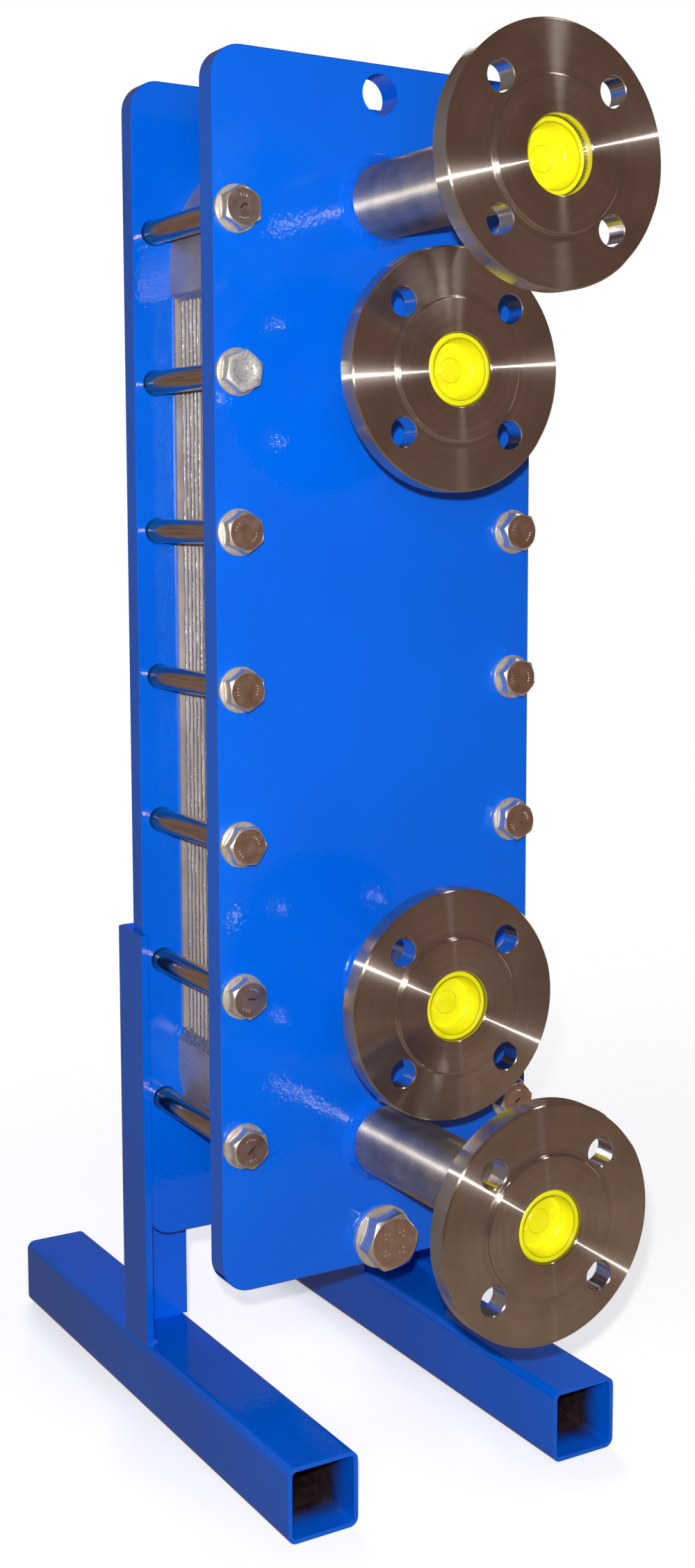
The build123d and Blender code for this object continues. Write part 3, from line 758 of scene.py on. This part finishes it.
def stand_bead_runs(side, sign):
    """The beads of one side of the stand, as arguments for straight_bead."""
    rear_low, rear_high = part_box("rear_plate")
    leg_low, leg_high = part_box(f"{side}_leg")
    foot_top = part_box(f"{side}_foot")[1].z
    inward = (-sign, 0, 0)
    outer_x = sign * max(abs(leg_low.x), abs(leg_high.x))
    inner_x = sign * (max(abs(leg_low.x), abs(leg_high.x)) - LEG_WALL)
    top = leg_high.z - 1 * MM
    stitches = [(rear_low.y, top, FORWARD)]
    stitches += [(rear_high.y, top - step * STITCH_STEP, BACKWARD) for step in range(3)]
    runs = []
    for y, high_z, other in stitches:
        runs.append(((inner_x, y, high_z), (inner_x, y, high_z - STITCH), inward, other, PLATE_BEAD))
    along_foot = ((inner_x, leg_low.y, foot_top), (inner_x, leg_high.y - LEG_WALL, foot_top))
    runs.insert(1, (*along_foot, inward, UP, FOOT_BEAD))
    seeded = [(*run, number + 2.3 * sign) for number, run in enumerate(runs)]
    front_run = ((outer_x - sign * 0.5 * MM, leg_low.y, foot_top), (inner_x, leg_low.y, foot_top))
    seeded.append((*front_run, FORWARD, UP, FOOT_BEAD, sign * 5.1))
    back_run = [(outer_x - sign * reach * MM, leg_high.y, foot_top) for reach in (8, 50)]
    seeded.append((*back_run, BACKWARD, UP, FOOT_BEAD, sign * 6.7))
    return seeded


stand_beads = []
for side, sign in SIDES.items():
    stand_beads += [straight_bead(*run) for run in stand_bead_runs(side, sign)]
verts, faces, _ = joined([(*bead, 0) for bead in stand_beads])
piece = make("stand_weld_beads", verts, faces, [ENAMEL], "blue_enamel")
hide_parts("stand_welds")


# ---- plate pack ---------------------------------------------------------------------------

def edge_bead(sign, x, y, low_z, high_z, seed):
    """The rough welded edge of one cassette, a ragged rib up the side of the pack."""
    spacing, sunk, steps = 1.6 * MM, 0.8 * MM, 6
    count = int((high_z - low_z) / spacing)
    rows = []
    for i in range(count + 1):
        z = low_z + (high_z - low_z) * i / count
        slow = wobble(z * 21, seed)
        quick = wobble(z * 190, seed + 9)
        centre = y + 0.45 * MM * slow + 0.15 * MM * quick
        half = (1.15 + 0.35 * wobble(z * 60, seed + 3) + 0.2 * quick) * MM
        proud = (0.75 + 0.45 * wobble(z * 75, seed + 5) + 0.25 * wobble(z * 330, seed + 6)) * MM
        row = [(sign * (x - sunk), centre - half * 0.9, z)]
        for step in range(steps + 1):
            turn = math.pi * step / steps
            crest = x - 0.25 * MM + proud * math.sin(turn)
            row.append((sign * crest, centre - half * math.cos(turn), z))
        row.append((sign * (x - sunk), centre + half * 0.9, z))
        rows.append(row)
    return skin(rows, cap_start=True, cap_end=True)


top_lip_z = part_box("top_hood")[0].z
bottom_lip_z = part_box("bottom_hood")[1].z
cassettes = sorted(name for name in frame["nodes"] if name.startswith("cassette_"))
for side, sign in SIDES.items():
    beads = []
    for number, name in enumerate(cassettes):
        low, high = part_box(name)
        centre_y = (low.y + high.y) / 2
        bead = edge_bead(sign, high.x, centre_y, bottom_lip_z, top_lip_z, 7.7 * number + 40 * sign)
        beads.append((*bead, 0))
    verts, faces, _ = joined(beads)
    make(f"cassette_edge_welds_{side}", verts, faces, [WELD], "pack_steel")


def hood_bead(sign, x, lip_z, down, leg, width, front, back, seed, rough):
    """The weld between a hood's lip and the cassette edges, heaped unevenly.

    down is 1 or -1, the way along Z from the lip to the cassettes.
    """
    spacing, sunk, steps = 0.9 * MM, 0.6 * MM, 8
    count = int((back - front) / spacing)
    rows = []
    for i in range(count + 1):
        y = front + (back - front) * i / count
        slow, quick = wobble(y * 95, seed), wobble(y * 420, seed + 2)
        drop = leg * (0.85 + rough * 0.5 * slow + rough * 0.25 * quick)
        out = width * (0.88 + rough * 0.22 * wobble(y * 160, seed + 4))
        row = [(sign * (x - sunk), y, lip_z - down * sunk)]
        for step in range(steps + 1):
            turn = math.pi / 2 * step / steps
            bulge = 0.80 + rough * 0.22 * wobble(y * 300, step * 0.7, seed + 6)
            edge = abs(math.cos(2 * turn))
            share = edge + (1 - edge) * bulge
            away_x = x + out * math.cos(turn) * share
            away_z = lip_z + down * drop * math.sin(turn) * share
            row.append((sign * away_x, y, away_z))
        row.append((sign * (x - sunk), y, lip_z + down * drop))
        rows.append(row)
    return skin(rows, cap_start=True, cap_end=True)


welds_low, welds_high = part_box("pack_welds")
edge_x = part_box(cassettes[0])[1].x
top_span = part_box("pack_front_sheet")[1].y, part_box("pack_rear_sheet")[0].y
bottom_span = welds_low.y, welds_high.y
hood_beads = []
for sign in SIDES.values():
    for bead in (
        hood_bead(sign, edge_x, top_lip_z, -1, 5 * MM, 4 * MM, *top_span, sign * 3.3, 0.5),
        hood_bead(sign, edge_x, bottom_lip_z, 1, 8 * MM, 5.4 * MM, *bottom_span, sign * 8.1, 1.0),
    ):
        hood_beads.append((*bead, 0))
verts, faces, _ = joined(hood_beads)
piece = make("hood_lip_welds", verts, faces, [WELD], "pack_steel", sharp=60)
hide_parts("pack_welds")


# ---- fasteners ----------------------------------------------------------------------------

TAN_30 = math.tan(math.radians(30))


def hex_radius(flats, turn):
    """A hexagon's radius as a function of the angle."""
    def radius(angle):
        sector = math.pi / 3
        return flats / 2 / math.cos((angle - turn) % sector - sector / 2)
    return radius


def bevel_ring(x, z, corner, face_r, near, push, inset=0.0, lift=0.0):
    """A hexagon's outline where a 30 degree bevel, rising from face_r at near, cuts it."""
    row = []
    for i in range(HEAD_SEGMENTS):
        angle = math.tau * i / HEAD_SEGMENTS
        r = corner(angle) - inset
        y = near + push * (corner(angle) - face_r) * TAN_30 + lift
        row.append((x + r * math.cos(angle), y, z + r * math.sin(angle)))
    return row


def hex_head(x, z, under, flats, height, turn, shank_r, dish):
    """A forged head with bevelled corners and, if dish is not 0, a hollow face.

    It comes as two parts, the sides with material 0 and the pressed face with material 2.
    """
    corner = hex_radius(flats, turn)
    face_r = 0.95 * flats / 2
    top = under - height
    collar = under - 0.4 * MM
    sides = [
        (shank_r, under),
        (face_r, under),
        (face_r, collar),
        (lambda angle: corner(angle) - 0.5 * MM, collar),
        (corner, under - 0.9 * MM),
    ]
    rows = turned_rows(x, z, sides, HEAD_SEGMENTS)
    for inset, lift in ((0.0, 0.35 * MM), (0.12 * MM, 0.08 * MM), (0.35 * MM, -0.08 * MM)):
        rows.append(bevel_ring(x, z, corner, face_r, top, 1, inset, lift))
    face = [
        (face_r + 0.3 * MM, top + 0.2 * MM),
        (face_r - 0.1 * MM, top + 0.03 * MM),
        (face_r - 0.6 * MM, top),
        (face_r * 0.66, top),
        (face_r * 0.60, top + dish * 0.5),
        (face_r * 0.52, top + dish),
        (0.02 * MM, top + dish),
    ]
    rows += turned_rows(x, z, face[:2], HEAD_SEGMENTS)
    inner = turned_rows(x, z, face[1:], HEAD_SEGMENTS)
    return [(*skin(rows), 0), (*skin(inner, cap_end=True), 2)]


def threaded_shank(x, z, start, end, radius, pitch, thread):
    """A plain shank that ends in a helical thread of that length, with a bevelled tip."""
    depth = 0.6134 * pitch           # of a metric thread
    rows_per_turn = 8
    tip = 1.3 * MM
    plain_end = end - thread - 0.5 * MM
    rows = turned_rows(x, z, [(radius, start), (radius, plain_end)], SHANK_SEGMENTS)
    count = int(thread / (pitch / rows_per_turn))
    for i in range(count + 1):
        y = end - thread + thread * i / count
        fade = min(1.0, max(0.0, (end - y) / (0.6 * pitch)))
        row = []
        for k in range(SHANK_SEGMENTS):
            angle = math.tau * k / SHANK_SEGMENTS
            phase = (y / pitch - k / SHANK_SEGMENTS) % 1.0
            groove = max(0.0, 1 - abs(phase - 0.5) / 0.44)
            r = min(radius - 0.1 * MM - depth * groove, radius - tip + tip * fade)
            row.append((x + r * math.cos(angle), y, z + r * math.sin(angle)))
        rows.append(row)
    rows.append(ring(x, z, radius - 1.7 * MM, end, SHANK_SEGMENTS))
    return skin(rows, cap_end=True)


def raised_bar(x, z, top, radius, angle, length, width):
    """A small raised stroke on a head's face, lying along the radius."""
    centre = Vector((x + radius * math.cos(angle), top, z + radius * math.sin(angle)))
    along = Vector((math.cos(angle), 0, math.sin(angle)))
    side = Vector((-along.z, 0, along.x))
    segments = 16
    rows = []
    for lift, shrink in ((0.2, 1.0), (-0.12, 0.9), (-0.28, 0.55)):
        push = Vector((0, lift * MM, 0))
        row = []
        for i in range(segments):
            turn = math.tau * i / segments
            squared = math.copysign(abs(math.cos(turn)) ** 0.5, math.cos(turn))
            reach, half = length / 2 * shrink * squared, width / 2 * shrink * math.sin(turn)
            row.append(centre + push + along * reach + side * half)
        rows.append(row)
    return skin(rows, cap_start=True, cap_end=True)


def washer(x, z, front, back, outer, bore):
    """A punched washer, rolled over at its edges."""
    profile = [(bore, front), (outer, front), (outer, back), (bore, back)]
    line = rounded(profile, 0.55 * MM, 4, closed=True)
    return skin(turned_rows(x, z, line + line[:1], HEAD_SEGMENTS))


def centres(node):
    """Middles of a node's separate solids, top one first, from the gaps between their heights."""
    gap = 10 * MM
    heights = sorted({round(v.co.z, 4) for v in frame["nodes"][node].data.vertices}, reverse=True)
    groups = [[heights[0]]]
    for z in heights[1:]:
        if groups[-1][-1] - z > gap:
            groups.append([])
        groups[-1].append(z)
    low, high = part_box(node)
    return [((low.x + high.x) / 2, (group[0] + group[-1]) / 2) for group in groups]


# Per side and from the top: how far each head is turned, in degrees.
HEAD_TURNS = {
    "left": (0, -8, 5, 3, 27, 2, 8),
    "right": (10, 20, 20, 15, -5, 12, -20),
}
# The one head with a hollow face and a dull white look.
DISHED = {("left", 1)}
# Felt-tip strokes on the heads, from point to point, in mm from the head's middle.
STROKES = {
    ("left", 0): [((-2.6, -1.6), (0.0, 1.9)), ((0.0, 1.9), (2.4, 0.3))],
    ("left", 5): [((-2.2, 0.8), (3.6, 0.2))],
    ("left", 6): [((-3.0, -2.6), (2.6, 2.8))],
    ("right", 6): [((-2.4, -1.6), (2.4, 1.8))],
}


def marker_stroke(x, z, top, start, end):
    """A felt-tip stroke, thicker in the middle, lying on a head's face."""
    start, end = Vector(start) * MM, Vector(end) * MM
    along = (end - start).normalized()
    side = Vector((-along.y, along.x))
    rows = []
    steps = 8
    for step in range(steps + 1):
        t = step / steps
        at = start.lerp(end, t)
        half = (0.35 + 0.4 * math.sin(math.pi * t)) * MM
        row = []
        for share, lift in ((-1, 0.02), (-0.9, 0.07), (0.9, 0.07), (1, 0.02)):
            point = at + side * half * share
            row.append((x + point.x, top - lift * MM, z + point.y))
        rows.append(row)
    return skin(rows, cap_start=True, cap_end=True)


def bolt_parts(x, z, under, top, tip, turn, dish, flats, shank, pitch, thread):
    """A hexagon bolt's head and shank. The shank starts a little way up inside the head."""
    parts = hex_head(x, z, under, flats, under - top, turn, shank, dish)
    parts.append((*threaded_shank(x, z, under - 0.1 * MM, tip, shank, pitch, thread), 1))
    return parts


def mark_parts(x, z, top, reach, turn):
    """Three plain strokes and four dots that say nothing, as a forged head's raised marks."""
    parts = []
    for step in (-1, 0, 1):
        angle = math.radians(90 + turn + 17 * step)
        parts.append(raised_bar(x, z, top, reach, angle, 2.3 * MM, 0.8 * MM))
    for step in (-1.5, -0.5, 0.5, 1.5):
        angle = math.radians(-90 + turn + 15 * step)
        parts.append(raised_bar(x, z, top, reach, angle, 1.2 * MM, 1.1 * MM))
    return parts


for side in SIDES:
    shank_node, washer_node = f"tie_bolts_{side}", f"bolt_washers_{side}"
    bolt_low, bolt_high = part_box(shank_node)
    washer_low, washer_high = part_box(washer_node)
    under = washer_low.y
    pieces, rings = [], []
    for number, (x, z) in enumerate(centres(shank_node)):
        turn = math.radians(HEAD_TURNS[side][number] + 30)
        dish = 0.7 * MM if (side, number) in DISHED else 0.0
        parts = bolt_parts(x, z, under, bolt_low.y, bolt_high.y, turn, dish, **TIE_BOLT)
        if not dish:
            for bar in mark_parts(x, z, bolt_low.y, MARK_R, 31 * number):
                parts.append((*bar, 0))
        verts, faces, indices = joined(parts)
        looks = [BRIGHT_HEAD, SHANK, BRIGHT_HEAD] if dish else [HEAD, SHANK, FACE]
        bolt = make(f"tie_bolt_{side}_{number + 1}", verts, faces, looks, "zinc_plate", indices=indices)
        pieces.append(bolt)
        verts, faces = washer(x, z, washer_low.y, washer_high.y, *TIE_WASHER)
        rings.append(make(f"bolt_washer_{side}_{number + 1}", verts, faces, [WASHER], "zinc_plate"))
        strokes = [
            (*marker_stroke(x, z, bolt_low.y, start, end), 0)
            for start, end in STROKES.get((side, number), ())
        ]
        if strokes:
            verts, faces, _ = joined(strokes)
            make(f"marker_tick_{side}_{number + 1}", verts, faces, [INK], "zinc_plate")
    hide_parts(shank_node)
    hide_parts(washer_node)

x, z = axis_of("centre_bolt_front_washer")
bolt_low, bolt_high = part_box("centre_bolt")
front_washer, rear_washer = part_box("centre_bolt_front_washer"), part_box("centre_bolt_rear_washer")
under = front_washer[0].y
parts = bolt_parts(x, z, under, bolt_low.y, bolt_high.y, math.radians(9), 0.0, **LOW_BOLT)
for group in range(4):
    for dot in (-1, 0, 1):
        angle = math.radians(45 + 90 * group + 14 * dot)
        reach = (8.2 if dot else 10.6) * MM
        parts.append((*raised_bar(x, z, bolt_low.y, reach, angle, 1.5 * MM, 1.5 * MM), 0))
verts, faces, indices = joined(parts)
piece = make("centre_bolt_forged", verts, faces, [HEAD, SHANK, FACE], "zinc_plate", indices=indices)
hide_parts("centre_bolt")
for name, (low, high) in (("front", front_washer), ("rear", rear_washer)):
    verts, faces = washer(x, z, low.y, high.y, *LOW_WASHER)
    piece = make(f"centre_washer_{name}", verts, faces, [WASHER], "zinc_plate")
    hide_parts(f"centre_bolt_{name}_washer")


def hex_nut(x, z, front, back, flats, bore, turn):
    """A nut bevelled at both ends, with a countersunk bore."""
    corner = hex_radius(flats, turn)
    face_r = 0.95 * flats / 2
    mouth, lead = bore + 0.9 * MM, 1 * MM
    outline = []
    for near, push in ((front, 1), (back, -1)):
        edge = turned_rows(x, z, [(face_r, near)], HEAD_SEGMENTS)
        edge.append(bevel_ring(x, z, corner, face_r, near, push))
        outline += edge if push > 0 else edge[::-1]
    inside = [(mouth, back), (bore, back - lead), (bore, front + lead), (mouth, front)]
    hole = turned_rows(x, z, inside, HEAD_SEGMENTS)
    return skin(hole[2:] + outline + hole[:3])


nut_low, nut_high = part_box("centre_nut")
bore = LOW_BOLT["shank"] + 0.1 * MM
nut = hex_nut(x, z, nut_low.y, nut_high.y, LOW_BOLT["flats"], bore, math.radians(34))
piece = make("centre_nut_forged", *nut, [HEAD], "zinc_plate")
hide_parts("centre_nut")


# ---- studio -------------------------------------------------------------------------------

EYE = Vector((-0.6603, -1.1896, 0.6334))
EYE_TURN = (83.566, -0.137, -32.173)     # degrees about X, Y and Z, from looking straight down
MIDDLE = Vector((0, -0.08, 0.5))         # where every light points
WHITE, WARM = (1.0, 0.98, 0.96), (1.0, 0.97, 0.94)


def build_floor():
    """A pale disc that fades out into the backdrop. Nothing mirrors it."""
    segments = 96
    rows = [ring(0, 0, radius, 0, segments) for radius in (0.01, 0.6, 1.2, 1.8, 2.6)]
    verts, faces = skin(rows, cap_start=True)
    verts = [(x, z, -0.5 * MM) for x, _, z in verts]
    floor = make("floor", verts, faces, [], None, body=None)
    floor.visible_glossy = floor.visible_diffuse = False
    s = Shader("floor", Roughness=0.7, Emission_Strength=0.5)
    sockets = {"Vector": s.place, "Scale": (1, 1, 0)}
    flat = s.node("ShaderNodeMapping", sockets).outputs["Vector"]
    reach = s.node("ShaderNodeVectorMath", {0: flat}, operation="LENGTH").outputs["Value"]
    s.surface.inputs["Base Color"].default_value = (0.88, 0.89, 0.91, 1)
    s.surface.inputs["Emission Color"].default_value = (0.97, 0.98, 1.0, 1)
    s.tree.links.new(s.span(reach, 0.4, 2.0, 1, 0, smooth=True), s.surface.inputs["Alpha"])
    floor.data.materials.append(s.done())


def build_world():
    """A white backdrop to look at, and a weak cool light on everything from all round.

    What the metal mirrors is a dim, warm room, lighter below and on the left behind the object.
    """
    world = bpy.data.worlds.new("studio")
    bpy.context.scene.world = world
    world.use_nodes = True
    tree = world.node_tree
    nodes, links = tree.nodes, tree.links
    nodes.clear()
    out = nodes.new("ShaderNodeOutputWorld")
    ray = nodes.new("ShaderNodeLightPath")
    looks = {}
    for name, color, strength in (
        ("seen", (1.0, 1.0, 1.0), 1.0),
        ("ambient", (0.85, 0.90, 1.0), 0.035),
        ("front", (0.145, 0.088, 0.068), 1.0),
        ("left", (0.21, 0.19, 0.18), 1.0),
        ("low", (0.26, 0.19, 0.145), 1.0),
    ):
        looks[name] = nodes.new("ShaderNodeBackground")
        looks[name].inputs["Color"].default_value = (*color, 1)
        looks[name].inputs["Strength"].default_value = strength
    towards = nodes.new("ShaderNodeTexCoord")

    def share(direction, start, end):
        """How far a ray turns towards a direction, from 0 at start to 1 at end."""
        turn = nodes.new("ShaderNodeVectorMath")
        turn.operation = "DOT_PRODUCT"
        turn.inputs[1].default_value = direction
        links.new(towards.outputs["Generated"], turn.inputs[0])
        span = nodes.new("ShaderNodeMapRange")
        span.interpolation_type = "SMOOTHSTEP"
        span.inputs["From Min"].default_value = start
        span.inputs["From Max"].default_value = end
        links.new(turn.outputs["Value"], span.inputs["Value"])
        return span.outputs["Result"]

    def mixed(factor, first, second):
        """The first shader where the factor is 0 and the second where it is 1."""
        mix = nodes.new("ShaderNodeMixShader")
        links.new(factor, mix.inputs["Fac"])
        links.new(first, mix.inputs[1])
        links.new(second, mix.inputs[2])
        return mix.outputs[0]

    ground = mixed(share((0, 0, -1), 0.17, 0.42), looks["front"].outputs[0], looks["low"].outputs[0])
    room = mixed(share((-0.72, 0.69, 0), 0.3, 1.0), ground, looks["left"].outputs[0])
    unseen = mixed(ray.outputs["Is Glossy Ray"], looks["ambient"].outputs[0], room)
    whole = mixed(ray.outputs["Is Camera Ray"], unseen, looks["seen"].outputs[0])
    links.new(whole, out.inputs["Surface"])


def area_light(name, place, size, watts, color, mirrored=True):
    """A lamp that points at the middle of the object. The metal shows it only if mirrored is true."""
    data = bpy.data.lights.new(name, "AREA")
    data.shape = "RECTANGLE"
    data.size, data.size_y = size
    data.energy = watts
    data.color = color
    lamp = bpy.data.objects.new(name, data)
    lamp.location = place
    aim = MIDDLE - Vector(place)
    lamp.rotation_euler = aim.to_track_quat("-Z", "Y").to_euler()
    lamp.visible_glossy = mirrored
    bpy.context.scene.collection.objects.link(lamp)


def build_camera():
    """Stands in front of the object on its left, and looks slightly down at it."""
    data = bpy.data.cameras.new("camera")
    data.lens = 44.68
    data.sensor_width = 36.0
    data.shift_x = -0.0543
    data.shift_y = -0.0288
    data.clip_start = 0.01
    camera = bpy.data.objects.new("camera", data)
    bpy.context.scene.collection.objects.link(camera)
    turn = Euler([math.radians(angle) for angle in EYE_TURN])
    camera.matrix_world = Matrix.LocRotScale(EYE, turn, None)
    bpy.context.scene.camera = camera


build_floor()
build_world()
build_camera()
area_light("flash", EYE + Vector((-0.02, 0.0, 0.06)), (0.02, 0.02), 15.0, WHITE)
area_light("key", EYE + Vector((-0.05, -0.1, 0.15)), (0.5, 0.5), 5.0, (1.0, 0.98, 0.97), mirrored=False)
area_light("ceiling", (1.1, -1.1, 2.3), (0.25, 0.25), 2.4, WARM)
area_light("fill_left", (-2.4, 0.4, 1.2), (1.0, 1.4), 1.5, (1.0, 0.93, 0.9))
area_light("fill_back", (0.9, 2.1, 3.0), (1.0, 1.0), 15.0, WHITE)
area_light("fill_rear", (0.5, 2.8, 0.7), (1.2, 1.2), 46.0, WHITE, mirrored=False)
area_light("fill_right", (2.6, 0.3, 0.5), (1.2, 0.8), 9.0, WARM)

bpy.context.scene.view_settings.view_transform = "Standard"
